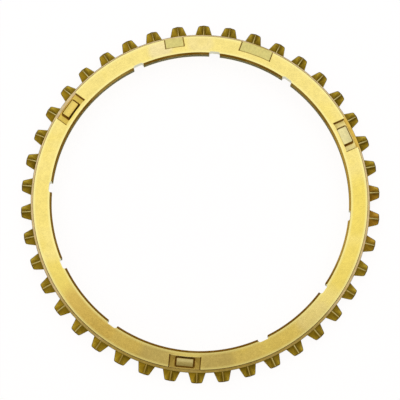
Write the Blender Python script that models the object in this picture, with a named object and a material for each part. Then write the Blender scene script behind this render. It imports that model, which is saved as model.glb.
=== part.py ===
# Brass synchronizer ring of a truck gearbox, machined from one forging.
# It lies on its gear side, hub side up, with its axis on +Z and the back face at z = 0.
# Lengths are in metres and angles in degrees.

import bpy
import bmesh
from math import asin, cos, degrees, radians, sin, sqrt, tan
from mathutils import Matrix, Vector
from mathutils.geometry import distance_point_to_plane, normal

# Toothed flange
FLANGE_THICKNESS = 0.0057
TOOTH_COUNT = 42
TOOTH_HEIGHT = 0.0038
TOOTH_ROOT_WIDTH = 0.00635
TOOTH_FLANK_ANGLE = 18.2
TOOTH_TIP_CHAMFER = 0.00032
TOOTH_POINT_ANGLE = 112.0
TOOTH_RIDGE_FALL = 12.0
TOOTH_RIDGE_BELOW_LAND = 0.0001
FIRST_TOOTH_AT = 3.14

# Boss that stands up from the flange on the hub side
BOSS_HEIGHT = 0.0043
BOSS_WIDTH = 0.00615
LAND_WIDTH = 0.0012
BOSS_WALL_DRAFT = 2.0
BOSS_EDGE_BREAK = 0.0002
BOSS_FOOT_FILLET = 0.0002

# Friction cone, open towards the gear side
THROAT_DIAMETER = 0.1063
CONE_HALF_ANGLE = 7.5
MOUTH_CHAMFER = 0.0007
BACK_CHAMFER = 0.0003

# Key slots in the boss, open outwards, each with a low block left standing in it
SLOT_COUNT = 3
FIRST_SLOT_AT = 24.5
SLOT_WIDTH = 0.0108
SLOT_DEPTH = 0.0033
SLOT_WALL_DRAFT = 5.0
SLOT_INNER_WALL = 0.00145
SLOT_MOUTH_ROUNDING = 0.0007
SLOT_LIP_RUN = 0.0004
SLOT_LIP_DROP = 0.0005
BLOCK_WIDTH = 0.0064
BLOCK_DRAFT = 8.0
BLOCK_BELOW_FACE = 0.0004
BLOCK_SETBACK = 0.0007
BLOCK_CORNER_CUT = 0.0003
BLOCK_INNER_GAPS = (0.0, 0.00045, 0.0005)

# Two shallow notches, one either side of the middle between the first two slots
NOTCH_DEPTH = 0.0008
NOTCH_WALL_DRAFT = 22.0
NOTCH_OFFSET_ANGLE = 14.8
WIDE_NOTCH_WIDTH = 0.0121
WIDE_NOTCH_LENGTH = 0.0035
NARROW_NOTCH_WIDTH = 0.0072
NARROW_NOTCH_LENGTH = 0.0034

# Oil grooves along the cone, evenly spaced between the slots; the last one is cut less deep
GROOVES_PER_GAP = 3
GROOVE_WIDTH = 0.0039
GROOVE_CORNER_RADIUS = 0.0008
GROOVE_DEPTH = 0.00125
LAST_GROOVE_DEPTH = 0.0006

# Facets, and how far a cutter or a root reaches past the surface it meets
STEPS_PER_TOOTH = 6
ARC_STEPS = 6
ROUNDING_STEPS = 3
OVERRUN = 0.0008
WELD_DISTANCE = 0.000004
SMOOTH_UP_TO = 25.0

# Sizes that follow from the ones above, from the throat outwards; the teeth end 130 mm across
height = FLANGE_THICKNESS + BOSS_HEIGHT
throat_radius = THROAT_DIAMETER / 2
throat_z = height - MOUTH_CHAMFER
cone_slope = tan(radians(CONE_HALF_ANGLE))
mouth_radius = throat_radius + MOUTH_CHAMFER
foot_radius = mouth_radius + BOSS_WIDTH
wall_slope = tan(radians(BOSS_WALL_DRAFT))
wall_top_radius = foot_radius - (BOSS_HEIGHT - BOSS_EDGE_BREAK) * wall_slope
face_outer_radius = wall_top_radius - BOSS_EDGE_BREAK
root_radius = foot_radius + LAND_WIDTH
tip_radius = root_radius + TOOTH_HEIGHT
slot_inner_radius = mouth_radius + SLOT_INNER_WALL
slot_floor_z = height - SLOT_DEPTH
slot_pitch = 360.0 / SLOT_COUNT


def cone_radius(z):
    return throat_radius + (throat_z - z) * cone_slope


def new_object(name, bm):
    bmesh.ops.recalc_face_normals(bm, faces=bm.faces[:])
    mesh = bpy.data.meshes.new(name)
    bm.to_mesh(mesh)
    bm.free()
    obj = bpy.data.objects.new(name, mesh)
    bpy.context.collection.objects.link(obj)
    return obj


def turned(bm, profile, start, sweep, steps):
    # spins a closed (radius, z) profile about the ring's axis
    verts = [bm.verts.new((r, 0.0, z)) for r, z in profile]
    edges = [bm.edges.new((verts[i - 1], verts[i])) for i in range(len(verts))]
    bmesh.ops.rotate(bm, verts=verts, cent=(0, 0, 0), matrix=Matrix.Rotation(radians(start), 3, 'Z'))
    spun = bmesh.ops.spin(bm, geom=verts + edges, cent=(0, 0, 0), axis=(0, 0, 1),
                          angle=radians(sweep), steps=steps)
    if sweep < 360.0:
        bm.faces.new(verts)
        bmesh.ops.edgeloop_fill(bm, edges=[e for e in spun['geom_last'] if isinstance(e, bmesh.types.BMEdge)])
    else:
        bmesh.ops.remove_doubles(bm, verts=bm.verts[:], dist=WELD_DISTANCE)


def lofted(bm, low_loop, high_loop, place):
    # closes the space between two loops of (x, y, z) points, turned to their place on the ring
    turn = Matrix.Rotation(radians(place), 3, 'Z')
    low = [bm.verts.new(turn @ Vector(p)) for p in low_loop]
    high = [bm.verts.new(turn @ Vector(p)) for p in high_loop]
    bm.faces.new(low[::-1])
    top = bm.faces.new(high)
    for i in range(len(low)):
        side = bm.faces.new((low[i - 1], low[i], high[i], high[i - 1]))
        # where draft meets a curved wall the side is twisted, so it becomes two flat triangles
        flat = normal([v.co for v in side.verts[:3]])
        if abs(distance_point_to_plane(side.verts[3].co, side.verts[0].co, flat)) > WELD_DISTANCE / 100:
            bmesh.utils.face_split(side, low[i - 1], high[i])
    return top, high


def arc_points(radius, half_width, steps):
    # points along a circle about the ring's axis, from -half_width to +half_width across
    half = asin(half_width / radius)
    return [(radius * cos(half * (2 * i / steps - 1)), radius * sin(half * (2 * i / steps - 1)))
            for i in range(steps + 1)]


def ring_body():
    # one turned section: cone, mouth, hub face, boss wall, land, root, back face
    edge = BOSS_EDGE_BREAK
    foot_z = FLANGE_THICKNESS + BOSS_FOOT_FILLET
    profile = [
        (cone_radius(BACK_CHAMFER), BACK_CHAMFER),
        (throat_radius, throat_z),
        (mouth_radius, height),
        (face_outer_radius, height),
        (face_outer_radius + edge * sin(radians(45.0)), height - edge * (1 - cos(radians(45.0)))),
        (wall_top_radius, height - edge),
        (foot_radius - BOSS_FOOT_FILLET * wall_slope, foot_z),
        (foot_radius + BOSS_FOOT_FILLET, FLANGE_THICKNESS),
        (root_radius, FLANGE_THICKNESS),
        (root_radius, 0.0),
        (cone_radius(BACK_CHAMFER) + BACK_CHAMFER, 0.0),
    ]
    bm = bmesh.new()
    turned(bm, profile, FIRST_TOOTH_AT, 360.0, TOOTH_COUNT * STEPS_PER_TOOTH)
    return new_object('synchronizer_ring', bm)


def tooth_solids():
    # tapered blocker teeth, each with a pointed roof towards the hub
    taper = tan(radians(TOOTH_FLANK_ANGLE))
    roof_slope = 1.0 / tan(radians(TOOTH_POINT_ANGLE / 2))
    ridge_z = FLANGE_THICKNESS - TOOTH_RIDGE_BELOW_LAND
    fall = tan(radians(TOOTH_RIDGE_FALL))
    foot_x = root_radius - OVERRUN / 2
    foot_half = TOOTH_ROOT_WIDTH / 2
    flank_end = tip_radius - TOOTH_TIP_CHAMFER
    flank_half = foot_half - (flank_end - root_radius) * taper
    tip_half = flank_half - TOOTH_TIP_CHAMFER
    tip_x = sqrt(tip_radius ** 2 - tip_half ** 2)
    side = [(root_radius, foot_half), (flank_end, flank_half), (tip_x, tip_half)]
    plan = [(foot_x, 0.0), (foot_x, -foot_half)]
    plan += [(x, -y) for x, y in side]
    plan += [(tip_radius, 0.0)]
    plan += side[::-1]
    plan += [(foot_x, foot_half)]
    low = [(x, y, 0.0) for x, y in plan]
    high = [(x, y, ridge_z - (x - foot_x) * fall - abs(y) * roof_slope) for x, y in plan]
    bm = bmesh.new()
    for i in range(TOOTH_COUNT):
        top, verts = lofted(bm, low, high, FIRST_TOOTH_AT + i * 360.0 / TOOTH_COUNT)
        bmesh.utils.face_split(top, verts[0], verts[5])
    return new_object('tooth_solids', bm)


def slot_cutters():
    # drafted pockets with rounded mouths, from the inner wall out past the boss
    bm = bmesh.new()
    draft = tan(radians(SLOT_WALL_DRAFT))
    top_z = height + OVERRUN
    out_x = root_radius + OVERRUN
    rounding = SLOT_MOUTH_ROUNDING

    def outline(z):
        half = SLOT_WIDTH / 2 + (z - slot_floor_z) * draft
        wall_x = sqrt(wall_top_radius ** 2 - (half + rounding) ** 2)
        side = []
        for i in range(ROUNDING_STEPS + 1):
            a = radians(90.0 * i / ROUNDING_STEPS)
            side.append((wall_x - rounding + rounding * sin(a), half + rounding - rounding * cos(a)))
        side.append((out_x, half + rounding))
        inner = arc_points(slot_inner_radius, half, ARC_STEPS)
        plan = [(x, -y) for x, y in side] + side[::-1] + inner[::-1]
        return [(x, y, z) for x, y in plan]

    for i in range(SLOT_COUNT):
        lofted(bm, outline(slot_floor_z), outline(top_z), FIRST_SLOT_AT + i * slot_pitch)
    return new_object('slot_cutters', bm)


def lip_cutters():
    # sloped lip where the slot floor runs out through the boss wall
    bm = bmesh.new()
    lip_radius = foot_radius - SLOT_LIP_RUN
    slope = SLOT_LIP_DROP / SLOT_LIP_RUN
    over = BOSS_FOOT_FILLET / 2
    inner = (lip_radius - over, slot_floor_z + over * slope)
    outer = (foot_radius + over, slot_floor_z - SLOT_LIP_DROP - over * slope)
    out_radius = root_radius + OVERRUN
    above = slot_floor_z + OVERRUN / 2
    profile = [inner, outer, (out_radius, outer[1]), (out_radius, above), (inner[0], above)]
    half = degrees(asin(SLOT_WIDTH / 2 / lip_radius))
    for i in range(SLOT_COUNT):
        turned(bm, profile, FIRST_SLOT_AT + i * slot_pitch - half, 2 * half, ARC_STEPS)
    return new_object('lip_cutters', bm)


def key_blocks():
    # low blocks in the slots, rooted in the floor and set just under the hub face
    bm = bmesh.new()
    draft = tan(radians(BLOCK_DRAFT))
    top_z = height - BLOCK_BELOW_FACE
    root_z = slot_floor_z - OVERRUN / 2
    spread = (top_z - root_z) * draft
    out_x = face_outer_radius - BLOCK_SETBACK

    def outline(near, far, half, z):
        cut = BLOCK_CORNER_CUT
        side = [(near, half - cut), (near + cut, half), (far - cut, half), (far, half - cut)]
        return [(x, -y, z) for x, y in side] + [(x, y, z) for x, y in side[::-1]]

    for i in range(SLOT_COUNT):
        gap = BLOCK_INNER_GAPS[i % len(BLOCK_INNER_GAPS)]
        in_x = slot_inner_radius + gap if gap > 0 else slot_inner_radius - SLOT_INNER_WALL / 4
        low = outline(in_x, out_x + spread, BLOCK_WIDTH / 2 + spread, root_z)
        high = outline(in_x, out_x, BLOCK_WIDTH / 2, top_z)
        lofted(bm, low, high, FIRST_SLOT_AT + i * slot_pitch)
    return new_object('key_blocks', bm)


def notch_cutters():
    # shallow notches, open outwards
    bm = bmesh.new()
    draft = tan(radians(NOTCH_WALL_DRAFT))
    floor_z = height - NOTCH_DEPTH
    middle = FIRST_SLOT_AT + slot_pitch / 2
    notches = [
        (middle - NOTCH_OFFSET_ANGLE, WIDE_NOTCH_WIDTH, WIDE_NOTCH_LENGTH),
        (middle + NOTCH_OFFSET_ANGLE, NARROW_NOTCH_WIDTH, NARROW_NOTCH_LENGTH),
    ]

    def outline(z, width, length):
        lean = (height - z) * draft
        half = width / 2 - lean
        inner = arc_points(face_outer_radius - length + lean, half, ARC_STEPS)[::-1]
        out_x = root_radius + OVERRUN
        return [(x, y, z) for x, y in [(out_x, -half), (out_x, half)] + inner]

    for place, width, length in notches:
        lofted(bm, outline(floor_z, width, length), outline(height + OVERRUN, width, length), place)
    return new_object('notch_cutters', bm)


def groove_cutters():
    # oil grooves with rounded bottom corners, which follow the cone
    bm = bmesh.new()
    half = GROOVE_WIDTH / 2
    corner = GROOVE_CORNER_RADIUS

    def outline(z, depth):
        bottom = cone_radius(z) + depth
        side = [(bottom - depth - OVERRUN, half)]
        for i in range(ROUNDING_STEPS + 1):
            a = radians(90.0 * i / ROUNDING_STEPS)
            side.append((bottom - corner + corner * sin(a), half - corner + corner * cos(a)))
        return [(x, -y, z) for x, y in side] + [(x, y, z) for x, y in side[::-1]]

    groove_pitch = slot_pitch / (GROOVES_PER_GAP + 1)
    places = [FIRST_SLOT_AT + slot * slot_pitch + i * groove_pitch
              for slot in range(SLOT_COUNT) for i in range(1, GROOVES_PER_GAP + 1)]
    for place in places:
        depth = LAST_GROOVE_DEPTH if place == places[-1] else GROOVE_DEPTH
        lofted(bm, outline(-OVERRUN, depth), outline(height + OVERRUN, depth), place)
    return new_object('groove_cutters', bm)


def combine(obj, tool, operation):
    tool.hide_render = True
    tool.display_type = 'WIRE'
    modifier = obj.modifiers.new(tool.name, 'BOOLEAN')
    modifier.operation = operation
    modifier.solver = 'EXACT'
    modifier.object = tool


def brass_material():
    material = bpy.data.materials.new('brass')
    material.use_nodes = True
    shader = material.node_tree.nodes['Principled BSDF']
    shader.inputs['Base Color'].default_value = (0.79, 0.60, 0.20, 1.0)
    shader.inputs['Metallic'].default_value = 1.0
    shader.inputs['Roughness'].default_value = 0.32
    return material


def build():
    for obj in list(bpy.data.objects):
        bpy.data.objects.remove(obj, do_unlink=True)

    ring = ring_body()
    ring.data.materials.append(brass_material())
    tools = [
        (tooth_solids(), 'UNION'),
        (slot_cutters(), 'DIFFERENCE'),
        (lip_cutters(), 'DIFFERENCE'),
        (key_blocks(), 'UNION'),
        (notch_cutters(), 'DIFFERENCE'),
        (groove_cutters(), 'DIFFERENCE'),
    ]
    for tool, operation in tools:
        combine(ring, tool, operation)

    # keep the finished solid as one plain mesh, and drop the tools
    bpy.context.view_layer.update()
    graph = bpy.context.evaluated_depsgraph_get()
    solid = bpy.data.meshes.new_from_object(ring.evaluated_get(graph))
    ring.modifiers.clear()
    ring.data = solid
    solid.name = ring.name
    for tool, operation in tools:
        bpy.data.objects.remove(tool, do_unlink=True)

    bm = bmesh.new()
    bm.from_mesh(solid)
    bmesh.ops.remove_doubles(bm, verts=bm.verts[:], dist=WELD_DISTANCE)
    bmesh.ops.dissolve_degenerate(bm, edges=bm.edges[:], dist=WELD_DISTANCE)
    bm.to_mesh(solid)
    bm.free()
    solid.shade_smooth()
    solid.set_sharp_from_angle(angle=radians(SMOOTH_UP_TO))


build()
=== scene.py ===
from math import asin, cos, pi, radians, sin, sqrt, tan

import bmesh
import bpy
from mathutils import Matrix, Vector


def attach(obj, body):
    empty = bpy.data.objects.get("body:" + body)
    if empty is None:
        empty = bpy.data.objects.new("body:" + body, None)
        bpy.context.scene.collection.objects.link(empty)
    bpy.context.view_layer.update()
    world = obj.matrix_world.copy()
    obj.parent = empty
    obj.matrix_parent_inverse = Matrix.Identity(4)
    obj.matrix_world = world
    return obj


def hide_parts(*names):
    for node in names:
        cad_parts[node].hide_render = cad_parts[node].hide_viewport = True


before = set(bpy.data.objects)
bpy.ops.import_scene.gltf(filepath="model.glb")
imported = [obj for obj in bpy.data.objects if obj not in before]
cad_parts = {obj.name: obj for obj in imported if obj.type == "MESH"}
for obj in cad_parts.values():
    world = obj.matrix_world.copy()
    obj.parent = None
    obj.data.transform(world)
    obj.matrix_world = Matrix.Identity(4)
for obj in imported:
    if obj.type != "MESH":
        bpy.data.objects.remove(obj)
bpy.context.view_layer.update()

# every length is in metres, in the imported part's frame: back face on z = 0, hub face up

turnedSizes = {
    "throatRadius": 0.05315,
    "mouthChamfer": 0.0007,
    "bossWidth": 0.00615,
    "bossHeight": 0.0043,
    "bossWallDraft": 2.0,
    "bossEdgeRadius": 0.0002,
    "footFillet": 0.0002,
    "landWidth": 0.0012,
    "flangeThickness": 0.0057,
    "flangeEdgeBreak": 0.00012,
    "coneHalfAngle": 7.5,
    "backChamfer": 0.0003,
    "stepsRound": 504,
}
threadSizes = {
    "pitch": 0.0006,
    "depth": 0.00013,
    "grooveWidth": 0.00034,
    "firstAt": 0.0009,
    "lastAt": 0.0088,
}

height = turnedSizes["flangeThickness"] + turnedSizes["bossHeight"]
throatZ = height - turnedSizes["mouthChamfer"]
mouthRadius = turnedSizes["throatRadius"] + turnedSizes["mouthChamfer"]
footRadius = mouthRadius + turnedSizes["bossWidth"]
wallSlope = tan(radians(turnedSizes["bossWallDraft"]))
wallTopRadius = footRadius - (turnedSizes["bossHeight"] - turnedSizes["bossEdgeRadius"]) * wallSlope
faceOuterRadius = wallTopRadius - turnedSizes["bossEdgeRadius"]
rootRadius = footRadius + turnedSizes["landWidth"]
coneSlope = tan(radians(turnedSizes["coneHalfAngle"]))
hair = 0.00001  # two places nearer than this are taken as one
supportGap = 0.00004  # keeps the shading of flat faces flat next to a rounded edge
overrun = 0.0008  # how far a cutter reaches past the surface that it cuts
weldDistance = 0.000001
smoothUpTo = 26  # degrees between two faces that are shaded as one


def coneRadius(z):
    return turnedSizes["throatRadius"] + (throatZ - z) * coneSlope


def arcPoints(centre, radius, fromDegrees, toDegrees, steps):
    points = []
    for i in range(steps + 1):
        a = radians(fromDegrees + (toDegrees - fromDegrees) * i / steps)
        points.append((centre[0] + radius * cos(a), centre[1] + radius * sin(a)))
    return points


def sectionPoints():
    # the turned section as (radius, z): mouth, hub face, boss, land, flange, back, threaded cone
    s = turnedSizes
    edge = s["bossEdgeRadius"]
    fillet = s["footFillet"]
    broken = s["flangeEdgeBreak"]
    points = [(s["throatRadius"], throatZ), (mouthRadius, height), (mouthRadius + supportGap, height)]
    points += [(faceOuterRadius - supportGap, height)]
    points += arcPoints((faceOuterRadius, height - edge), edge, 90, 0, 4)
    points += [(footRadius - fillet * wallSlope, s["flangeThickness"] + fillet + supportGap)]
    points += arcPoints((footRadius + fillet, s["flangeThickness"] + fillet), fillet, 180, 270, 3)
    points += [(footRadius + fillet + supportGap, s["flangeThickness"])]
    points += [(rootRadius - broken, s["flangeThickness"]), (rootRadius, s["flangeThickness"] - broken)]
    points += [(rootRadius, broken), (rootRadius - broken, 0.0)]
    points += [(coneRadius(s["backChamfer"]) + s["backChamfer"], 0.0)]
    points += [(coneRadius(s["backChamfer"]), s["backChamfer"])]
    t = threadSizes
    turns = int((t["lastAt"] - t["firstAt"]) / t["pitch"]) + 1
    for i in range(turns):
        z = t["firstAt"] + i * t["pitch"]
        half = t["grooveWidth"] / 2
        points += [(coneRadius(z - half), z - half), (coneRadius(z) + t["depth"], z)]
        points += [(coneRadius(z + half), z + half)]
    return points


def sectionMesh(name, pathRadius):
    # a closed loop of edges for the node tree to sweep round the axis, which turns its Y to -Z
    bm = bmesh.new()
    verts = [bm.verts.new((r - pathRadius, -z, 0.0)) for r, z in sectionPoints()]
    for i in range(len(verts)):
        bm.edges.new((verts[i - 1], verts[i]))
    mesh = bpy.data.meshes.new(name)
    bm.to_mesh(mesh)
    bm.free()
    return mesh


def stackedLoops(bm, loops):
    # joins loops of (x, y, z) points, one above the other, into a closed solid
    rows = [[bm.verts.new(p) for p in loop] for loop in loops]
    bm.faces.new(rows[0][::-1])
    bm.faces.new(rows[-1])
    for low, high in zip(rows, rows[1:]):
        for i in range(len(low)):
            bm.faces.new((low[i - 1], low[i], high[i], high[i - 1]))
    return rows


def rounded(bm, edges, size, steps):
    bmesh.ops.bevel(bm, geom=edges, offset=size, segments=steps, profile=0.5, affect="EDGES")


def templateObject(name, bm):
    bmesh.ops.recalc_face_normals(bm, faces=bm.faces[:])
    mesh = bpy.data.meshes.new(name)
    bm.to_mesh(mesh)
    bm.free()
    template = bpy.data.objects.new(name, mesh)
    bpy.context.collection.objects.link(template)
    return template


toothSizes = {
    "count": 42,
    "firstAt": 3.14,
    "height": 0.0038,
    "rootWidth": 0.00635,
    "flankAngle": 18.2,
    "tipChamfer": 0.00032,
    "pointAngle": 112.0,
    "ridgeFall": 12.0,
    "ridgeBelowLand": 0.0001,
    "backRelief": 0.00005,
    "ridgeRounding": 0.00025,
    "edgeRounding": 0.0003,
    "easedFrom": 28,
}


def toothTemplate():
    # one tapered blocker tooth on +X, with its pointed roof and eased edges
    t = toothSizes
    taper = tan(radians(t["flankAngle"]))
    roofSlope = 1.0 / tan(radians(t["pointAngle"] / 2))
    fall = tan(radians(t["ridgeFall"]))
    tipRadius = rootRadius + t["height"]
    footX = rootRadius - overrun / 2
    footHalf = t["rootWidth"] / 2
    flankEnd = tipRadius - t["tipChamfer"]
    flankHalf = footHalf - (flankEnd - rootRadius) * taper
    tipHalf = flankHalf - t["tipChamfer"]
    tipX = sqrt(tipRadius ** 2 - tipHalf ** 2)
    ridgeZ = turnedSizes["flangeThickness"] - t["ridgeBelowLand"]
    side = [(rootRadius, footHalf), (flankEnd, flankHalf), (tipX, tipHalf)]
    plan = [(footX, 0.0), (footX, -footHalf)] + [(x, -y) for x, y in side]
    plan += [(tipRadius, 0.0)] + side[::-1] + [(footX, footHalf)]
    bm = bmesh.new()
    low, high = stackedLoops(bm, [
        [(x, y, t["backRelief"]) for x, y in plan],
        [(x, y, ridgeZ - (x - footX) * fall - abs(y) * roofSlope) for x, y in plan],
    ])
    roof = [f for f in bm.faces if all(v in high for v in f.verts)][0]
    ridgeEnds = (high[0], high[5])  # the middle of the foot and of the tip
    bmesh.utils.face_split(roof, *ridgeEnds)
    bm.edges.ensure_lookup_table()
    ridge = [e for e in bm.edges if all(v in ridgeEnds for v in e.verts)]
    rounded(bm, ridge, t["ridgeRounding"], 3)
    # ease the long roof edges, the tip edges and the back edges, but nothing inside the flange
    eased = []
    for e in bm.edges:
        outside = all(v.co.x > rootRadius - hair for v in e.verts)
        if outside and len(e.link_faces) == 2 and e.calc_face_angle(0.0) > radians(t["easedFrom"]):
            eased.append(e)
    rounded(bm, eased, t["edgeRounding"], 2)
    bmesh.ops.triangulate(bm, faces=[f for f in bm.faces if len(f.verts) > 4])
    return templateObject("toothTemplate", bm)


slotSizes = {
    "count": 3,
    "firstAt": 24.5,
    "width": 0.0108,
    "depth": 0.0033,
    "wallDraft": 5.0,
    "innerWall": 0.00145,
    "mouthRounding": 0.0007,
    "floorFillet": 0.00015,
    "edgeBreak": 0.0001,
    "lipRun": 0.0004,
    "lipDrop": 0.0005,
}
slotInnerRadius = mouthRadius + slotSizes["innerWall"]
slotFloorZ = height - slotSizes["depth"]


def curvedEnd(radius, half, steps=10):
    # points along a circle about the ring's axis, from +half to -half across
    reach = asin(half / radius)
    return [(radius * cos(reach * (1 - 2 * i / steps)), radius * sin(reach * (1 - 2 * i / steps)))
            for i in range(steps + 1)]


def slotCutterTemplate():
    # drafted pocket on +X, open outwards, with a filleted floor, rounded mouth and a broken top edge
    s = slotSizes
    draft = tan(radians(s["wallDraft"]))
    outX = rootRadius + overrun
    rounding = s["mouthRounding"]
    steps = 5
    turns = [radians(90 * i / steps) for i in range(steps + 1)]

    def outline(z, grow):
        half = s["width"] / 2 + (z - slotFloorZ) * draft + grow
        wallX = sqrt(wallTopRadius ** 2 - (s["width"] / 2 + rounding) ** 2)
        side = [(wallX - rounding + rounding * sin(a), half + rounding * (1 - cos(a))) for a in turns]
        side.append((outX, half + rounding))
        inner = curvedEnd(slotInnerRadius - grow, half)
        return [(x, y, z) for x, y in [(x, -y) for x, y in side] + side[::-1] + inner]

    fillet = s["floorFillet"]
    bend = fillet * 0.3  # the middle of the fillet
    broken = s["edgeBreak"]
    bm = bmesh.new()
    stackedLoops(bm, [
        outline(slotFloorZ, -fillet),
        outline(slotFloorZ + bend, -bend),
        outline(slotFloorZ + fillet, 0.0),
        outline(height - broken, 0.0),
        outline(height + overrun, overrun + broken),
    ])
    bmesh.ops.triangulate(bm, faces=bm.faces[:])
    return templateObject("slotCutterTemplate", bm)


def lipCutterTemplate():
    # sloped run-out of the slot floor through the boss wall
    s = slotSizes
    lipRadius = footRadius - s["lipRun"]
    slope = s["lipDrop"] / s["lipRun"]
    over = turnedSizes["footFillet"] / 2
    outer = (footRadius + over, slotFloorZ - s["lipDrop"] - over * slope)
    above = slotFloorZ + overrun / 2
    profile = [(lipRadius - over, slotFloorZ + over * slope), outer, (rootRadius + overrun, outer[1])]
    profile += [(rootRadius + overrun, above), (lipRadius - over, above)]
    reach = asin(s["width"] / 2 / lipRadius)
    steps = 12
    bm = bmesh.new()
    rows = []
    for i in range(steps + 1):
        a = reach * (2 * i / steps - 1)
        rows.append([(r * cos(a), r * sin(a), z) for r, z in profile])
    stackedLoops(bm, rows)
    bmesh.ops.triangulate(bm, faces=bm.faces[:])
    return templateObject("lipCutterTemplate", bm)


blockSizes = {
    "width": 0.0064,
    "draft": 8.0,
    "belowFace": 0.0004,
    "setback": 0.0007,
    "cornerRadius": 0.00045,
    "topEdge": 0.0003,
    "innerGaps": [0.0, 0.00045, 0.0005],
}


def blockTemplate(number, innerGap):
    # low drafted block on +X, with rounded upright corners and an eased top edge
    b = blockSizes
    topZ = height - b["belowFace"]
    rootZ = slotFloorZ - overrun / 2
    spread = (topZ - rootZ) * tan(radians(b["draft"]))
    inX = slotInnerRadius + innerGap if innerGap > 0 else slotInnerRadius - slotSizes["innerWall"] / 4
    outX = faceOuterRadius - b["setback"]
    half = b["width"] / 2
    bm = bmesh.new()
    low, high = stackedLoops(bm, [
        [(inX, -half - spread, rootZ), (outX + spread, -half - spread, rootZ),
         (outX + spread, half + spread, rootZ), (inX, half + spread, rootZ)],
        [(inX, -half, topZ), (outX, -half, topZ), (outX, half, topZ), (inX, half, topZ)],
    ])
    upright = [e for e in bm.edges if any(v in low for v in e.verts) and any(v in high for v in e.verts)]
    rounded(bm, upright, b["cornerRadius"], 3)
    top = [e for e in bm.edges if all(abs(v.co.z - topZ) < hair for v in e.verts)]
    rounded(bm, top, b["topEdge"], 2)
    bmesh.ops.triangulate(bm, faces=bm.faces[:])
    return templateObject("blockTemplate" + str(number), bm)


notchSizes = {
    "depth": 0.0008,
    "wallDraft": 22.0,
    "offsetAngle": 14.8,
    "floorFillet": 0.0001,
    "wide": {"width": 0.0121, "length": 0.0035},
    "narrow": {"width": 0.0072, "length": 0.0034},
}


def notchCutterTemplate(kind):
    # shallow notch on +X, open outwards
    n = notchSizes[kind]
    draft = tan(radians(notchSizes["wallDraft"]))
    floorZ = height - notchSizes["depth"]

    def outline(z, grow):
        lean = (height - z) * draft - grow
        half = n["width"] / 2 - lean
        outX = rootRadius + overrun
        inner = curvedEnd(faceOuterRadius - n["length"] + lean, half)
        return [(x, y, z) for x, y in [(outX, -half), (outX, half)] + inner]

    bm = bmesh.new()
    stackedLoops(bm, [
        outline(floorZ, -notchSizes["floorFillet"]),
        outline(floorZ + notchSizes["floorFillet"], 0.0),
        outline(height + overrun, 0.0),
    ])
    bmesh.ops.triangulate(bm, faces=bm.faces[:])
    return templateObject(kind + "NotchCutterTemplate", bm)


oilGrooveSizes = {
    "perGap": 3,
    "width": 0.0039,
    "cornerRadius": 0.0008,
    "depth": 0.00125,
    "lastDepth": 0.0006,
}


def grooveCutterTemplate(name, depth):
    # groove on +X with rounded bottom corners, which follows the cone
    half = oilGrooveSizes["width"] / 2
    corner = oilGrooveSizes["cornerRadius"]

    def outline(z):
        bottom = coneRadius(z) + depth
        side = [(bottom - depth - overrun, half)]
        side += arcPoints((bottom - corner, half - corner), corner, 90, 0, 6)
        return [(x, -y, z) for x, y in side] + [(x, y, z) for x, y in side[::-1]]

    bm = bmesh.new()
    stackedLoops(bm, [outline(-overrun), outline(height + overrun)])
    bmesh.ops.triangulate(bm, faces=bm.faces[:])
    return templateObject(name, bm)


def addNode(tree, kind, inputs=None, **settings):
    # adds a node; each input is given a value, a socket to be linked from, or a list of sockets
    made = tree.nodes.new(kind)
    for name, value in settings.items():
        setattr(made, name, value)
    for name, value in (inputs or {}).items():
        for one in value if isinstance(value, list) else [value]:
            if isinstance(one, bpy.types.NodeSocket):
                tree.links.new(one, made.inputs[name])
            else:
                made.inputs[name].default_value = one
    return made


def doMath(tree, operation, first, second=0.0, third=0.0):
    return addNode(tree, "ShaderNodeMath", {0: first, 1: second, 2: third}, operation=operation).outputs[0]


def vectorMath(tree, operation, first, second=(0.0, 0.0, 0.0), result="Vector"):
    return addNode(tree, "ShaderNodeVectorMath", {0: first, 1: second}, operation=operation).outputs[result]


def mixed(tree, amount, first, second, blend="MIX"):
    inputs = {0: amount, 6: first, 7: second}
    return addNode(tree, "ShaderNodeMix", inputs, data_type="RGBA", blend_type=blend).outputs[2]


# which way a face may look (up or out, from -1 to 1) and how far off its place it may lie to take a finish
faceBounds = {
    "near": 0.0001,
    "apart": 0.0002,
    "slotSpread": 0.0003,
    "boreSpread": 0.0004,
    "threadSpread": 0.00005,
    "toothSpread": 0.00002,
    "level": 0.9,
    "upright": 0.25,
    "boreTilt": 0.69,
    "boreOut": 0.5,
    "threadUp": 0.35,
    "chamferLow": 0.6,
    "chamferHigh": 0.8,
    "landUp": 0.5,
    "wallTilt": 0.5,
    "notchWallUp": 0.3,
    "bossSideOut": 0.9,
    "bossEdgeUp": 0.98,
    "ridgeUp": 0.88,
    "roofUp": 0.74,
    "backUp": -0.6,
}


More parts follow.
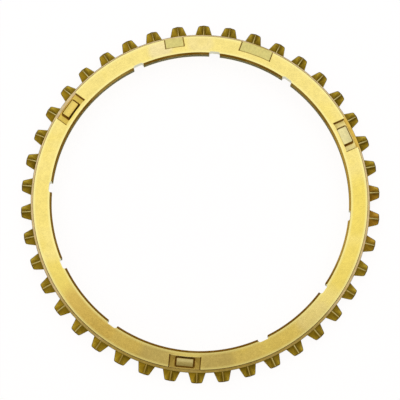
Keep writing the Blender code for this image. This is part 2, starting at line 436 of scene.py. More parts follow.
def ringTree(materials):
    # sweeps the section into the blank, then adds and cuts what repeats round it
    tree = bpy.data.node_groups.new("turnAndCutRing", "GeometryNodeTree")
    tree.is_modifier = True
    tree.interface.new_socket("Section", in_out="INPUT", socket_type="NodeSocketGeometry")
    named = [("Path radius", "Float"), ("Steps round", "Int"), ("Tooth count", "Int"),
             ("First tooth angle", "Float"), ("Slot count", "Int"), ("First slot angle", "Float"),
             ("Grooves per gap", "Int"), ("Notch offset angle", "Float"),
             ("Tooth", "Object"), ("Slot cutter", "Object"),
             ("Lip cutter", "Object"), ("Block 1", "Object"), ("Block 2", "Object"), ("Block 3", "Object"),
             ("Wide notch cutter", "Object"), ("Narrow notch cutter", "Object"),
             ("Oil groove cutter", "Object"), ("Shallow groove cutter", "Object")]
    for name, kind in named:
        tree.interface.new_socket(name, in_out="INPUT", socket_type="NodeSocket" + kind)
    tree.interface.new_socket("Ring", in_out="OUTPUT", socket_type="NodeSocketGeometry")
    given = tree.nodes.new("NodeGroupInput").outputs
    index = addNode(tree, "GeometryNodeInputIndex").outputs[0]

    def math(operation, first, second=0.0, third=0.0):
        return doMath(tree, operation, first, second, third)

    def ringOf(shape, count, first, pitch, keep=None):
        # copies of one shape, turned round the axis
        info = addNode(tree, "GeometryNodeObjectInfo", {"Object": shape}, transform_space="ORIGINAL")
        points = addNode(tree, "GeometryNodePoints", {"Count": count})
        angle = math("MULTIPLY_ADD", index, pitch, first)
        turn = addNode(tree, "ShaderNodeCombineXYZ", {"Z": angle}).outputs[0]
        inputs = {"Points": points.outputs[0], "Instance": info.outputs["Geometry"], "Rotation": turn}
        if keep is not None:
            inputs["Selection"] = keep
        placed = addNode(tree, "GeometryNodeInstanceOnPoints", inputs)
        return addNode(tree, "GeometryNodeRealizeInstances", {0: placed.outputs[0]}).outputs[0]

    def joined(ring, shape):
        inputs = {"Mesh 2": [ring, shape]}
        made = addNode(tree, "GeometryNodeMeshBoolean", inputs, operation="UNION", solver="EXACT")
        return made.outputs[0]

    def cut(ring, shape):
        inputs = {"Mesh 1": ring, "Mesh 2": shape}
        made = addNode(tree, "GeometryNodeMeshBoolean", inputs, operation="DIFFERENCE", solver="EXACT")
        return made.outputs[0]

    # the blank
    path = addNode(tree, "GeometryNodeCurvePrimitiveCircle",
                   {"Resolution": given["Steps round"], "Radius": given["Path radius"]})
    section = addNode(tree, "GeometryNodeMeshToCurve", {0: given["Section"]})
    blank = addNode(tree, "GeometryNodeCurveToMesh",
                    {"Curve": path.outputs[0], "Profile Curve": section.outputs[0]}).outputs[0]

    # teeth, key slots with their lips and blocks, notches, oil grooves
    toothPitch = math("DIVIDE", 2 * pi, given["Tooth count"])
    slotPitch = math("DIVIDE", 2 * pi, given["Slot count"])
    firstSlot = given["First slot angle"]
    teeth = ringOf(given["Tooth"], given["Tooth count"], given["First tooth angle"], toothPitch)
    ring = joined(blank, teeth)
    ring = cut(ring, ringOf(given["Slot cutter"], given["Slot count"], firstSlot, slotPitch))
    ring = cut(ring, ringOf(given["Lip cutter"], given["Slot count"], firstSlot, slotPitch))
    for i in range(slotSizes["count"]):
        place = math("MULTIPLY_ADD", slotPitch, float(i), firstSlot)
        ring = joined(ring, ringOf(given["Block " + str(i + 1)], 1, place, slotPitch))
    middle = math("MULTIPLY_ADD", slotPitch, 0.5, firstSlot)
    wideAt = math("SUBTRACT", middle, given["Notch offset angle"])
    narrowAt = math("ADD", middle, given["Notch offset angle"])
    ring = cut(ring, ringOf(given["Wide notch cutter"], 1, wideAt, slotPitch))
    ring = cut(ring, ringOf(given["Narrow notch cutter"], 1, narrowAt, slotPitch))
    perSlot = math("ADD", given["Grooves per gap"], 1.0)
    groovePitch = math("DIVIDE", slotPitch, perSlot)
    places = math("MULTIPLY", given["Slot count"], perSlot)
    last = math("SUBTRACT", places, 1.0)
    notAtSlot = math("MODULO", index, perSlot)
    keep = math("MULTIPLY", notAtSlot, math("SUBTRACT", last, index))
    ring = cut(ring, ringOf(given["Oil groove cutter"], places, firstSlot, groovePitch, keep))
    lastAt = math("MULTIPLY_ADD", last, groovePitch, firstSlot)
    ring = cut(ring, ringOf(given["Shallow groove cutter"], 1, lastAt, groovePitch))

    # one finish for each surface, chosen by where a face is and which way it looks
    spot = addNode(tree, "GeometryNodeInputPosition").outputs[0]
    flat = vectorMath(tree, "MULTIPLY", spot, (1.0, 1.0, 0.0))
    radius = vectorMath(tree, "LENGTH", flat, result="Value")
    z = addNode(tree, "ShaderNodeSeparateXYZ", {0: spot}).outputs["Z"]
    facing = addNode(tree, "GeometryNodeInputNormal").outputs[0]
    up = addNode(tree, "ShaderNodeSeparateXYZ", {0: facing}).outputs["Z"]
    out = vectorMath(tree, "DOT_PRODUCT", facing, vectorMath(tree, "NORMALIZE", flat), result="Value")

    def above(value, low):
        return math("GREATER_THAN", value, low)

    def below(value, high):
        return math("LESS_THAN", value, high)

    def both(first, second):
        return math("MULTIPLY", first, second)

    def between(value, low, high):
        return both(above(value, low), below(value, high))

    b = faceBounds
    near = b["near"]
    notchFloorZ = height - notchSizes["depth"]
    blockTopZ = height - blockSizes["belowFace"]
    lipRadius = footRadius - slotSizes["lipRun"]
    inBore = both(below(radius, slotInnerRadius + b["boreSpread"]), below(out, b["boreOut"]))
    inBore = both(inBore, between(up, -b["boreTilt"], b["boreTilt"]))
    threadsEnd = threadSizes["lastAt"] + threadSizes["pitch"] / 2
    inThread = both(both(inBore, above(up, b["threadUp"])), below(z, threadsEnd))
    pastThreads = coneRadius(0.0) + threadSizes["depth"] + b["threadSpread"]
    inGroove = both(inBore, above(radius, math("MULTIPLY_ADD", z, -coneSlope, pastThreads)))
    onMouth = both(below(radius, mouthRadius), between(up, b["chamferLow"], b["chamferHigh"]))
    onBossWall = between(radius, faceOuterRadius, footRadius + near)
    onLand = both(between(radius, footRadius + near, rootRadius - near), above(up, b["landUp"]))
    inPocket = both(between(radius, slotInnerRadius - b["slotSpread"], lipRadius),
                    between(z, slotFloorZ - near, notchFloorZ - b["apart"]))
    onWalls = both(between(radius, slotInnerRadius - b["slotSpread"], footRadius + near),
                   between(z, slotFloorZ - near, height - near))
    onWalls = both(onWalls, between(up, -b["wallTilt"], b["wallTilt"]))
    onLip = both(between(radius, lipRadius, footRadius),
                 between(z, slotFloorZ - slotSizes["lipDrop"], slotFloorZ - hair))
    onBlockEdge = both(between(radius, slotInnerRadius - b["apart"], faceOuterRadius - b["apart"]),
                       between(z, blockTopZ - blockSizes["topEdge"], blockTopZ - hair))
    isLevel = above(up, b["level"])
    onBlock = both(isLevel, between(z, blockTopZ - b["apart"], blockTopZ + b["apart"]))
    inNotch = both(isLevel, between(z, notchFloorZ - near, notchFloorZ + b["apart"]))
    onTooth = above(radius, rootRadius + b["toothSpread"])
    onRidge = both(onTooth, above(up, b["ridgeUp"]))
    onToothEdge = both(above(radius, rootRadius - near), below(up, b["roofUp"]))
    isUpright = between(up, -b["upright"], b["upright"])
    onToothSide = both(onToothEdge, isUpright)
    onBossSide = both(both(onBossWall, isUpright), above(out, b["bossSideOut"]))
    onBossEdge = both(onBossWall, between(up, b["upright"], b["bossEdgeUp"]))
    onPocketWall = both(onWalls, isUpright)
    onSlotMouth = both(onPocketWall, above(radius, wallTopRadius - slotSizes["mouthRounding"]))
    onNotchWall = both(onWalls, above(up, b["notchWallUp"]))
    onBack = below(up, b["backUp"])

    # the teeth stay flat-faced, everything else is shaded round
    ring = addNode(tree, "GeometryNodeSetShadeSmooth", {"Geometry": ring, "Shade Smooth": True}).outputs[0]
    ring = addNode(tree, "GeometryNodeSetShadeSmooth",
                   {"Geometry": ring, "Selection": onTooth, "Shade Smooth": False}).outputs[0]
    ring = addNode(tree, "GeometryNodeRealizeInstances", {0: ring}).outputs[0]
    # a later finish covers an earlier one
    chosen = [("face", True), ("edge", onBossWall), ("land", onLand), ("pocket", inPocket),
              ("edge", onWalls), ("bossEdge", onBossEdge), ("pocketWall", onPocketWall),
              ("edge", onSlotMouth), ("wall", onBossSide), ("notchWall", onNotchWall),
              ("lip", onLip), ("block", onBlock), ("edge", onBlockEdge), ("notch", inNotch),
              ("bore", inBore), ("thread", inThread), ("groove", inGroove), ("mouth", onMouth),
              ("tooth", onTooth), ("ridge", onRidge), ("toothEdge", onToothEdge),
              ("toothSide", onToothSide), ("back", onBack)]
    for name, where in chosen:
        ring = addNode(tree, "GeometryNodeSetMaterial",
                       {"Geometry": ring, "Selection": where, "Material": materials[name]}).outputs[0]
    tree.links.new(ring, tree.nodes.new("NodeGroupOutput").inputs[0])
    return tree


def makeRing(materials):
    pathRadius = (mouthRadius + rootRadius) / 2
    ring = bpy.data.objects.new("brassRing", sectionMesh("brassRing", pathRadius))
    bpy.context.collection.objects.link(ring)
    shapes = {
        "Tooth": toothTemplate(),
        "Slot cutter": slotCutterTemplate(),
        "Lip cutter": lipCutterTemplate(),
        "Wide notch cutter": notchCutterTemplate("wide"),
        "Narrow notch cutter": notchCutterTemplate("narrow"),
        "Oil groove cutter": grooveCutterTemplate("oilGrooveCutter", oilGrooveSizes["depth"]),
        "Shallow groove cutter": grooveCutterTemplate("shallowGrooveCutter", oilGrooveSizes["lastDepth"]),
    }
    for i, gap in enumerate(blockSizes["innerGaps"]):
        shapes["Block " + str(i + 1)] = blockTemplate(i + 1, gap)
    values = {
        "Path radius": pathRadius,
        "Steps round": turnedSizes["stepsRound"],
        "Tooth count": toothSizes["count"],
        "First tooth angle": radians(toothSizes["firstAt"]),
        "Slot count": slotSizes["count"],
        "First slot angle": radians(slotSizes["firstAt"]),
        "Grooves per gap": oilGrooveSizes["perGap"],
        "Notch offset angle": radians(notchSizes["offsetAngle"]),
    }
    values.update(shapes)
    tree = ringTree(materials)
    modifier = ring.modifiers.new("turnAndCutRing", "NODES")
    modifier.node_group = tree
    for item in tree.interface.items_tree:
        if item.in_out == "INPUT" and item.name in values:
            modifier[item.identifier] = values[item.name]
    bpy.context.view_layer.update()
    graph = bpy.context.evaluated_depsgraph_get()
    solid = bpy.data.meshes.new_from_object(ring.evaluated_get(graph), depsgraph=graph)
    ring.modifiers.remove(modifier)
    # the cuts leave doubled points and slivers
    bm = bmesh.new()
    bm.from_mesh(solid)
    bmesh.ops.remove_doubles(bm, verts=bm.verts[:], dist=weldDistance)
    bmesh.ops.dissolve_degenerate(bm, dist=weldDistance, edges=bm.edges[:])
    bm.to_mesh(solid)
    bm.free()
    solid.materials.pop(index=0)  # the blank's empty slot, which no face uses
    ring.data = solid
    solid.name = "brassRing"
    for shape in shapes.values():
        bpy.data.objects.remove(shape, do_unlink=True)
    solid.set_sharp_from_angle(angle=radians(smoothUpTo))
    return ring


def newMaterial(name):
    material = bpy.data.materials.new(name)
    material.use_nodes = True
    tree = material.node_tree
    tree.nodes.clear()
    return material, tree


# how grain and stains spread over every finish; blotches are centred on the hub face
patternSizes = {
    "coarseDetail": 2.0,
    "fineDetail": 3.0,
    "fineRoughness": 0.6,
    "centreRadius": 0.0575,
    "unevenness": 0.6,
    "fullUpTo": 0.25,
    "goneAt": 0.8,
    "patchLow": 0.5,
    "patchHigh": 0.72,
    "roughening": 0.08,
    "cornerSamples": 8,
    "blotchKinds": [
        ("tarnishAndShadeAt", "tarnishAndShadeColour"), ("shadedAt", "shadedColour"), ("paledAt", "paleColour"),
    ],
}


def brassMaterial(name, look):
    material, tree = newMaterial(name)
    s = patternSizes

    def math(operation, first, second=0.0, third=0.0):
        return doMath(tree, operation, first, second, third)

    def coarseNoise(vector, size):
        inputs = {"Vector": vector, "Scale": 1.0 / size, "Detail": s["coarseDetail"]}
        return addNode(tree, "ShaderNodeTexNoise", inputs).outputs[0]

    def fineNoise(size):
        inputs = {"Vector": spot, "Scale": 1.0 / size, "Detail": s["fineDetail"]}
        inputs["Roughness"] = s["fineRoughness"]
        return addNode(tree, "ShaderNodeTexNoise", inputs).outputs[0]

    def fit(value, fromLow, fromHigh, toLow, toHigh):
        inputs = {0: value, 1: fromLow, 2: fromHigh, 3: toLow, 4: toHigh}
        return addNode(tree, "ShaderNodeMapRange", inputs, interpolation_type="SMOOTHSTEP").outputs[0]

    def around(value, amount, middle=0.0):
        # a pattern from 0 to 1, made a little more or less than its middle
        return math("MULTIPLY_ADD", value, amount, middle - amount / 2)

    spot = addNode(tree, "ShaderNodeTexCoord").outputs["Object"]
    x, y, z = addNode(tree, "ShaderNodeSeparateXYZ", {0: spot}).outputs
    radius = math("SQRT", math("ADD", math("MULTIPLY", x, x), math("MULTIPLY", y, y)))
    # tool marks run round the axis: fine across, long around
    across = math("MULTIPLY", radius, 1.0 / look["markPitch"])
    upAcross = math("MULTIPLY", z, 1.0 / look["markPitch"])
    aroundX = math("MULTIPLY", math("DIVIDE", x, radius), look["markReach"])
    aroundY = math("MULTIPLY", math("DIVIDE", y, radius), look["markReach"])
    lane = addNode(tree, "ShaderNodeCombineXYZ", {0: math("ADD", across, upAcross), 1: aroundX, 2: aroundY})
    marks = coarseNoise(lane.outputs[0], 1.0)
    patches = coarseNoise(spot, look["patchSize"])
    grain = fineNoise(look["grainSize"])
    mottle = fineNoise(look["mottleSize"])

    def blotches(amountSoFar, places):
        # uneven spots at (angle round the ring, reach, amount)
        for angle, reach, amount in places:
            a = radians(angle)
            middle = (s["centreRadius"] * cos(a), s["centreRadius"] * sin(a), height)
            away = vectorMath(tree, "DISTANCE", spot, middle, result="Value")
            uneven = math("MULTIPLY_ADD", patches, -reach * s["unevenness"], away)
            blotch = fit(uneven, reach * s["fullUpTo"], reach * s["goneAt"], amount, 0.0)
            amountSoFar = math("MAXIMUM", amountSoFar, blotch)
        return amountSoFar

    # colour: clean brass, stained patches, tarnish patches with painted shade, patches of painted shade and
    # pale patches, then fine light and dark grain
    stained = fit(patches, s["patchLow"], s["patchHigh"], 0.0, look["stainAmount"])
    stained = blotches(stained, look.get("stainedAt", []))
    colour = mixed(tree, stained, look["colour"], look["stainColour"])
    for places, tint in s["blotchKinds"]:
        if places in look:
            colour = mixed(tree, blotches(0.0, look[places]), colour, look[tint])
    shade = math("ADD", around(grain, look["grainShade"], 1.0), around(marks, look["markShade"]))
    shade = math("ADD", shade, around(mottle, look["mottleShade"]))
    grey = addNode(tree, "ShaderNodeCombineColor", {0: shade, 1: shade, 2: shade}).outputs[0]
    colour = mixed(tree, 1.0, colour, grey, blend="MULTIPLY")

    if "rimWearAndHighlightWidth" in look:
        # the rims of the hub face are painted lighter: rubbed wear with a painted highlight
        innerRim = fit(radius, mouthRadius, mouthRadius + look["rimWearAndHighlightWidth"], 1.0, 0.0)
        outerRim = fit(radius, faceOuterRadius - look["rimWearAndHighlightWidth"], faceOuterRadius, 0.0, 1.0)
        rim = math("MULTIPLY", math("MAXIMUM", innerRim, outerRim), look["rimWearAndHighlightAmount"])
        colour = mixed(tree, rim, colour, look["rimWearAndHighlightColour"])

    # old oil and dirt sit in the corners, with painted shade: the colour darkens where ambient occlusion
    # finds a hollow
    corners = addNode(tree, "ShaderNodeAmbientOcclusion", {"Distance": look["dirtAndShadeReach"]},
                      samples=s["cornerSamples"], only_local=True)
    dirtAndShade = fit(corners.outputs["AO"], look["dirtAndShadeFrom"], look["dirtAndShadeTo"], look["dirtAndShadeAmount"], 0.0)
    colour = mixed(tree, dirtAndShade, colour, look["dirtAndShadeColour"])

    rough = math("ADD", around(grain, look["grainRough"], look["roughness"]),
                 math("MULTIPLY", math("ADD", stained, dirtAndShade), s["roughening"]))
    relief = math("MULTIPLY_ADD", grain, look["grainDepth"], math("MULTIPLY", marks, look["markDepth"]))
    bump = addNode(tree, "ShaderNodeBump", {"Strength": 1.0, "Distance": 1.0, "Height": relief}).outputs[0]
    shader = addNode(tree, "ShaderNodeBsdfPrincipled", {
        "Base Color": colour, "Metallic": look.get("metallic", 1.0), "Roughness": rough, "Normal": bump,
        # the grazing tint colours what the metal mirrors at low angles: a painted dark reflection on the
        # walls, tooth sides and bore, a painted bluish one in the oil grooves
        "Specular Tint": look.get("grazingTint", (1.0, 1.0, 1.0, 1.0)),
    })
    addNode(tree, "ShaderNodeOutputMaterial", {"Surface": shader.outputs[0]})
    return material


turnedLook = {
    "colour": (0.93, 0.80, 0.285, 1.0), "stainColour": (0.93, 0.77, 0.17, 1.0), "stainAmount": 0.45,
    "stainedAt": [
        (358, 0.013, 0.9), (180, 0.012, 0.3), (336, 0.012, 0.8), (300, 0.010, 0.5),
        (209, 0.009, 0.7),
    ],
    # the tarnish patches at 226 to 302 degrees and the darker ones at 254.5 and 276 degrees are painted
    # shade: the hub face is darker towards -Y
    "tarnishAndShadeColour": (0.77, 0.575, 0.155, 1.0),
    "tarnishAndShadeAt": [
        (226, 0.015, 1.0), (243, 0.010, 0.7), (285, 0.012, 0.4), (302, 0.009, 0.4),
    ],
    "shadedColour": (0.66, 0.54, 0.21, 1.0), "shadedAt": [(254.5, 0.0075, 0.8), (276.0, 0.0075, 0.8)],
    "paleColour": (0.90, 0.80, 0.47, 1.0),
    "paledAt": [(104.8, 0.0052, 0.8), (90.0, 0.0055, 0.4), (314.0, 0.0075, 0.35)],
    "roughness": 0.15, "patchSize": 0.009, "mottleSize": 0.0022, "mottleShade": 0.26,
    "grainSize": 0.0006, "grainShade": 0.40, "grainRough": 0.10, "grainDepth": 0.0000030,
    "markPitch": 0.00018, "markReach": 40.0, "markShade": 0.16, "markDepth": 0.0000016,
    "dirtAndShadeColour": (0.30, 0.17, 0.03, 1.0), "dirtAndShadeReach": 0.0008, "dirtAndShadeFrom": 0.4, "dirtAndShadeTo": 0.9,
    "dirtAndShadeAmount": 0.6, "rimWearAndHighlightWidth": 0.0011, "rimWearAndHighlightColour": (1.0, 0.93, 0.42, 1.0),
    "rimWearAndHighlightAmount": 0.9,
}
pocketLook = {
    "colour": (0.86, 0.75, 0.32, 1.0), "stainColour": (0.88, 0.68, 0.145, 1.0), "stainAmount": 0.8,
    "stainedAt": [(144.5, 0.02, 1.0), (264.5, 0.02, 1.0), (20.0, 0.003, 0.9)],
    "tarnishAndShadeColour": (0.53, 0.40, 0.11, 1.0), "tarnishAndShadeAt": [(264.5, 0.02, 0.8)],
    "roughness": 0.28, "patchSize": 0.005, "mottleSize": 0.0015, "mottleShade": 0.4,
    "grainSize": 0.0006, "grainShade": 0.35, "grainRough": 0.12, "grainDepth": 0.000006,
    "markPitch": 0.00030, "markReach": 60.0, "markShade": 0.12, "markDepth": 0.000002,
    "dirtAndShadeColour": (0.42, 0.25, 0.03, 1.0), "dirtAndShadeReach": 0.0009, "dirtAndShadeFrom": 0.25, "dirtAndShadeTo": 0.75,
    "dirtAndShadeAmount": 0.8,
}
wallLook = {
    "colour": (0.78, 0.62, 0.20, 1.0), "stainColour": (0.62, 0.44, 0.11, 1.0), "stainAmount": 0.8,
    "roughness": 0.32, "patchSize": 0.004, "mottleSize": 0.0015, "mottleShade": 0.2,
    "grainSize": 0.0005, "grainShade": 0.30, "grainRough": 0.12, "grainDepth": 0.000004,
    "markPitch": 0.00030, "markReach": 60.0, "markShade": 0.10, "markDepth": 0.000002,
    "dirtAndShadeColour": (0.22, 0.12, 0.015, 1.0), "dirtAndShadeReach": 0.0010, "dirtAndShadeFrom": 0.3, "dirtAndShadeTo": 0.85,
    "dirtAndShadeAmount": 0.8, "grazingTint": (0.38, 0.25, 0.10, 1.0),
}
boreLook = {
    "colour": (0.64, 0.52, 0.19, 1.0), "stainColour": (0.48, 0.38, 0.13, 1.0), "stainAmount": 0.6,
    "roughness": 0.42, "patchSize": 0.010, "mottleSize": 0.002, "mottleShade": 0.1,
    "grainSize": 0.0004, "grainShade": 0.20, "grainRough": 0.10, "grainDepth": 0.000003,
    "markPitch": 0.00010, "markReach": 30.0, "markShade": 0.15, "markDepth": 0.000002,
    "dirtAndShadeColour": (0.05, 0.055, 0.04, 1.0), "dirtAndShadeReach": 0.0004, "dirtAndShadeFrom": 0.5, "dirtAndShadeTo": 0.98,
    "dirtAndShadeAmount": 0.9, "grazingTint": (0.03, 0.07, 0.08, 1.0),
}
mouthLook = {
    "colour": (0.36, 0.20, 0.015, 1.0), "stainColour": (0.76, 0.55, 0.14, 1.0), "stainAmount": 0.3,
    "stainedAt": [
        (127, 0.012, 1.0), (2, 0.034, 0.9), (48, 0.012, 0.6), (168, 0.03, 0.3),
    ],
    "roughness": 0.24, "patchSize": 0.008, "mottleSize": 0.002, "mottleShade": 0.1,
    "grainSize": 0.0004, "grainShade": 0.20, "grainRough": 0.10, "grainDepth": 0.000002,
    "markPitch": 0.00012, "markReach": 30.0, "markShade": 0.10, "markDepth": 0.000002,
    "dirtAndShadeColour": (0.20, 0.10, 0.01, 1.0), "dirtAndShadeReach": 0.0006, "dirtAndShadeFrom": 0.4, "dirtAndShadeTo": 0.9,
    "dirtAndShadeAmount": 0.5,
}
# the finishes below share the grain of one above and differ in colour and polish
# painted shade: the threads' near-black grey-green stands in for the shade in their fine grooves
threadLook = dict(
    boreLook, colour=(0.15, 0.16, 0.125, 1.0), stainColour=(0.11, 0.115, 0.085, 1.0),
)
grooveLook = dict(
    boreLook, colour=(0.78, 0.64, 0.27, 1.0), stainColour=(0.66, 0.50, 0.20, 1.0), roughness=0.30,
    grazingTint=(0.74, 0.86, 1.0, 1.0), dirtAndShadeAmount=0.2,
)
landLook = dict(
    pocketLook, colour=(0.75, 0.61, 0.36, 1.0), stainColour=(0.92, 0.65, 0.13, 1.0),
    stainAmount=0.3, stainedAt=[(24.5, 0.0105, 1.0)], tarnishAndShadeColour=(0.50, 0.38, 0.11, 1.0),
    roughness=0.34, mottleShade=0.7,
    # the patches at 225 to 305 degrees are painted shade, darkening the land towards -Y
    tarnishAndShadeAt=[
        (225, 0.014, 0.8), (250, 0.022, 1.0), (280, 0.022, 1.0), (305, 0.018, 0.9),
        (69.7, 0.008, 1.0), (99.3, 0.005, 1.0),
    ],
    dirtAndShadeColour=(0.25, 0.14, 0.03, 1.0),
)
lipLook = dict(
    pocketLook, colour=(0.84, 0.61, 0.14, 1.0), stainColour=(0.74, 0.46, 0.06, 1.0), roughness=0.34,
)
blockLook = dict(
    turnedLook, colour=(0.86, 0.80, 0.42, 1.0), stainColour=(0.92, 0.73, 0.20, 1.0),
    stainAmount=0.3, stainedAt=[(144.5, 0.014, 1.0)], tarnishAndShadeColour=(0.53, 0.45, 0.19, 1.0),
    tarnishAndShadeAt=[(264.5, 0.014, 0.9)], roughness=0.24, mottleSize=0.0012, mottleShade=0.26,
)
notchLook = dict(
    pocketLook, colour=(0.72, 0.66, 0.25, 1.0), stainColour=(0.76, 0.62, 0.21, 1.0),
    stainAmount=0.5, stainedAt=[], tarnishAndShadeAt=[], mottleSize=0.0010, mottleShade=0.45,
    roughness=0.26, dirtAndShadeColour=(0.40, 0.26, 0.05, 1.0),
)
# painted shade: the teeth are a darker brown than the rest of the brass
toothLook = dict(
    pocketLook, colour=(0.50, 0.36, 0.034, 1.0), stainColour=(0.31, 0.21, 0.015, 1.0),
    stainAmount=0.7, stainedAt=[], patchSize=0.003, roughness=0.22, grainSize=0.0005,
    grainShade=0.30, tarnishAndShadeColour=(0.60, 0.33, 0.04, 1.0), tarnishAndShadeAt=[(-3, 0.016, 0.8)],
    grainRough=0.06, grainDepth=0.000002, markShade=0.04, mottleShade=0.24,
    dirtAndShadeColour=(0.12, 0.08, 0.01, 1.0),
)
# the pale ridge colour is rubbed wear with a painted highlight along the ridge
ridgeLook = dict(
    pocketLook, colour=(1.0, 0.90, 0.44, 1.0), stainColour=(0.66, 0.50, 0.14, 1.0), stainAmount=0.7,
    stainedAt=[], roughness=0.26, dirtAndShadeAmount=0.3, tarnishAndShadeColour=(0.66, 0.51, 0.15, 1.0),
    tarnishAndShadeAt=[(260, 0.038, 0.9), (98, 0.034, 0.8)],
)
# painted shade: near-black on the eased tooth edges and tip slopes, a painted dark reflection
toothEdgeShadeLook = dict(
    wallLook, colour=(0.09, 0.065, 0.009, 1.0), stainColour=(0.06, 0.042, 0.006, 1.0),
)
toothSideLook = dict(
    wallLook, colour=(0.74, 0.60, 0.18, 1.0), stainColour=(0.56, 0.42, 0.09, 1.0),
    grazingTint=(0.22, 0.16, 0.04, 1.0),
)
# painted shade: dark brown on the rounded slot mouths, the block top edges and the steep faces left in the
# slots and on the boss
edgeShadeLook = dict(
    wallLook, colour=(0.25, 0.14, 0.014, 1.0), stainColour=(0.16, 0.085, 0.008, 1.0),
)
pocketWallLook = dict(
    wallLook, colour=(0.62, 0.42, 0.09, 1.0), grazingTint=(0.45, 0.28, 0.08, 1.0), roughness=0.40,
    metallic=0.75, dirtAndShadeColour=(0.30, 0.16, 0.02, 1.0), dirtAndShadeAmount=0.6,
)
notchWallLook = dict(
    wallLook, colour=(0.74, 0.52, 0.16, 1.0), stainColour=(0.58, 0.38, 0.10, 1.0), roughness=0.6,
    metallic=0.7, grazingTint=(1.0, 1.0, 1.0, 1.0), dirtAndShadeColour=(0.60, 0.40, 0.12, 1.0),
    dirtAndShadeAmount=0.4,
)
bossEdgeLook = dict(
    wallLook, colour=(0.66, 0.50, 0.26, 1.0), stainColour=(0.50, 0.34, 0.14, 1.0),
    # painted shade: near-black along the boss edge from 205 to 335 degrees, on the -Y half, a painted dark
    # reflection
    tarnishAndShadeColour=(0.07, 0.075, 0.075, 1.0),
    tarnishAndShadeAt=[
        (205, 0.016, 0.8), (228, 0.022, 1.0), (256, 0.022, 1.0), (284, 0.022, 1.0),
        (312, 0.020, 1.0), (335, 0.014, 0.8),
    ],
)
backLook = dict(
    turnedLook, stainedAt=[], tarnishAndShadeAt=[(30, 0.02, 0.6), (200, 0.02, 0.6)], rimWearAndHighlightAmount=0.0,
)

materials = {
    "face": brassMaterial("turnedBrass", turnedLook),
    "pocket": brassMaterial("milledBrass", pocketLook),
    "wall": brassMaterial("darkWallBrass", wallLook),
    "bore": brassMaterial("threadedBrass", boreLook),
    "thread": brassMaterial("threadShadeBrass", threadLook),
    "groove": brassMaterial("oilGrooveBrass", grooveLook),
    "mouth": brassMaterial("mouthBrass", mouthLook),
    "land": brassMaterial("landBrass", landLook),
    "lip": brassMaterial("lipBrass", lipLook),
    "block": brassMaterial("blockBrass", blockLook),
    "notch": brassMaterial("notchBrass", notchLook),
    "tooth": brassMaterial("toothBrass", toothLook),
    "ridge": brassMaterial("ridgeWearAndHighlightBrass", ridgeLook),
    "toothEdge": brassMaterial("toothEdgeShadeBrass", toothEdgeShadeLook),
    "toothSide": brassMaterial("toothSideBrass", toothSideLook),
    "edge": brassMaterial("edgeShadeBrass", edgeShadeLook),
    "pocketWall": brassMaterial("pocketWallBrass", pocketWallLook),
    "notchWall": brassMaterial("notchWallBrass", notchWallLook),
    "bossEdge": brassMaterial("bossEdgeBrass", bossEdgeLook),
    "back": brassMaterial("backBrass", backLook),
}
print("brass finishes made")

brassRing = makeRing(materials)
print("ring turned and cut:", len(brassRing.data.polygons), "faces")
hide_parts("synchronizer_ring")
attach(brassRing, "root")


stageSizes = {
    "floorWidth": 20.0,
    "floorDrop": 0.00005,
    "whiteness": (0.895, 0.895, 0.915, 1.0),
    "floorColour": (0.86, 0.86, 0.85, 1.0),
    "shadowShare": 0.22,
}


def makeFloor():
    # pale floor, white to the lens and in the metal, that keeps the ring's shadow
    half = stageSizes["floorWidth"] / 2
    z = -stageSizes["floorDrop"]
    mesh = bpy.data.meshes.new("paleFloor")
    corners = [(-half, -half, z), (half, -half, z), (half, half, z), (-half, half, z)]
    mesh.from_pydata(corners, [], [(0, 1, 2, 3)])
    floor = bpy.data.objects.new("paleFloor", mesh)
    bpy.context.collection.objects.link(floor)
    material, tree = newMaterial("paleFloor")
    rays = addNode(tree, "ShaderNodeLightPath").outputs
    seen = doMath(tree, "ADD", rays["Is Camera Ray"], rays["Is Glossy Ray"])
    seen = doMath(tree, "MINIMUM", doMath(tree, "ADD", seen, rays["Is Transmission Ray"]), 1.0)
    share = stageSizes["shadowShare"]
    paintColour = mixed(tree, seen, stageSizes["floorColour"], (share, share, share, 1.0))
    paint = addNode(tree, "ShaderNodeBsdfDiffuse", {"Color": paintColour}).outputs[0]
    white = addNode(tree, "ShaderNodeEmission", {"Color": stageSizes["whiteness"], "Strength": seen})
    both = addNode(tree, "ShaderNodeAddShader", {0: paint, 1: white.outputs[0]}).outputs[0]
    addNode(tree, "ShaderNodeOutputMaterial", {"Surface": both})
    mesh.materials.append(material)
    return floor


lightSizes = {
    "softBoxSize": (1.2, 0.9),
    "softBoxNearEdge": -0.053,
    "softBoxHeight": 0.81,
    "softBoxLevel": (0.40, 0.43, 0.50),
    "frontSize": (1.4, 0.5),
    "frontPlace": (0.0, -1.1, 0.5),
    "frontLevel": (0.16, 0.14, 0.10),
    "leftSize": (1.3, 0.5),
    "leftPlace": (-1.1, 0.0, 0.26),
    "leftLevel": (0.20, 0.165, 0.07),
}


def areaLamp(name, size, place, aim, level):
    # a soft box; level is the red, green and blue that a mirror would show of it
    lamp = bpy.data.lights.new(name, "AREA")
    lamp.shape = "RECTANGLE"
    lamp.size, lamp.size_y = size
    lamp.color = [part / max(level) for part in level]
    lamp.energy = max(level) * pi * size[0] * size[1]
    holder = bpy.data.objects.new(name, lamp)
    holder.location = place
    holder.rotation_euler = (Vector(aim) - Vector(place)).to_track_quat("-Z", "Y").to_euler()
    holder.visible_camera = False
    bpy.context.collection.objects.link(holder)
    return holder


# light of the room by how high a ray looks, from the horizon at 0 to straight up at 1;
# the dim band keeps the tooth roofs dark from above
roomLevels = [
    (0.0, (0.44, 0.385, 0.265)),
    (0.20, (0.42, 0.365, 0.245)),
    (0.31, (0.10, 0.08, 0.045)),
    (0.43, (0.10, 0.08, 0.045)),
    (0.54, (0.42, 0.36, 0.24)),
    (0.80, (0.42, 0.36, 0.24)),
    (0.93, (0.50, 0.43, 0.29)),
    (0.985, (0.64, 0.56, 0.385)),
]


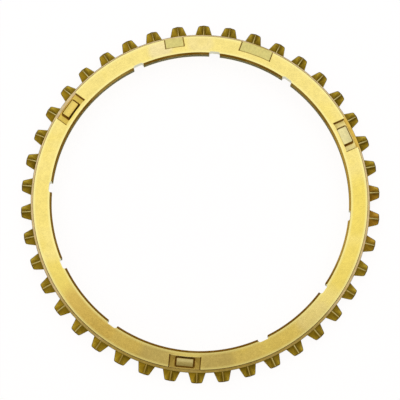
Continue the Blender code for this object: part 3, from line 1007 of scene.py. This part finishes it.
def makeWorld():
    # warm room, the same for every ray
    world = bpy.data.worlds.new("room")
    bpy.context.scene.world = world
    world.use_nodes = True
    tree = world.node_tree
    tree.nodes.clear()
    direction = addNode(tree, "ShaderNodeTexCoord").outputs["Generated"]
    up = addNode(tree, "ShaderNodeSeparateXYZ", {0: direction}).outputs["Z"]
    ramp = addNode(tree, "ShaderNodeValToRGB", {0: up})
    while len(ramp.color_ramp.elements) < len(roomLevels):
        ramp.color_ramp.elements.new(0.5)
    for element, (position, level) in zip(ramp.color_ramp.elements, roomLevels):
        element.position = position
        element.color = (*level, 1.0)
    room = addNode(tree, "ShaderNodeBackground", {"Color": ramp.outputs[0], "Strength": 1.0})
    addNode(tree, "ShaderNodeOutputWorld", {"Surface": room.outputs[0]})


makeFloor()
makeWorld()
boxY = lightSizes["softBoxNearEdge"] + lightSizes["softBoxSize"][1] / 2
boxPlace = (0, boxY, lightSizes["softBoxHeight"])
areaLamp("softBox", lightSizes["softBoxSize"], boxPlace, (0, boxY, 0), lightSizes["softBoxLevel"])
for side in ("front", "left"):
    size, place, level = [lightSizes[side + value] for value in ("Size", "Place", "Level")]
    areaLamp(side + "Fill", size, place, (0, 0, 0), level)
print("floor, room and lamps set")


# the picture is 400 pixels wide; a pixel is measured on the hub face
cameraSizes = {
    "distance": 0.3925,
    "tilt": 4.5,
    "pictureWidth": 400,
    "pixelSize": 0.0003568,
    "sensorWidth": 36.0,
    "shift": (-0.0008, 0.0026),
    "nearestSeen": 0.01,
}


def makeCamera():
    c = cameraSizes
    tilt = radians(c["tilt"])
    camera = bpy.data.cameras.new("benchCamera")
    camera.sensor_width = c["sensorWidth"]
    camera.lens = c["sensorWidth"] * c["distance"] / (c["pictureWidth"] * c["pixelSize"])
    camera.shift_x, camera.shift_y = c["shift"]
    camera.clip_start = c["nearestSeen"]
    holder = bpy.data.objects.new("benchCamera", camera)
    holder.location = (0, -sin(tilt) * c["distance"], height + cos(tilt) * c["distance"])
    holder.rotation_euler = (tilt, 0, 0)
    bpy.context.collection.objects.link(holder)
    bpy.context.scene.camera = holder


makeCamera()
print("camera set")
bpy.context.scene.view_settings.view_transform = "Standard"
bpy.context.view_layer.update()
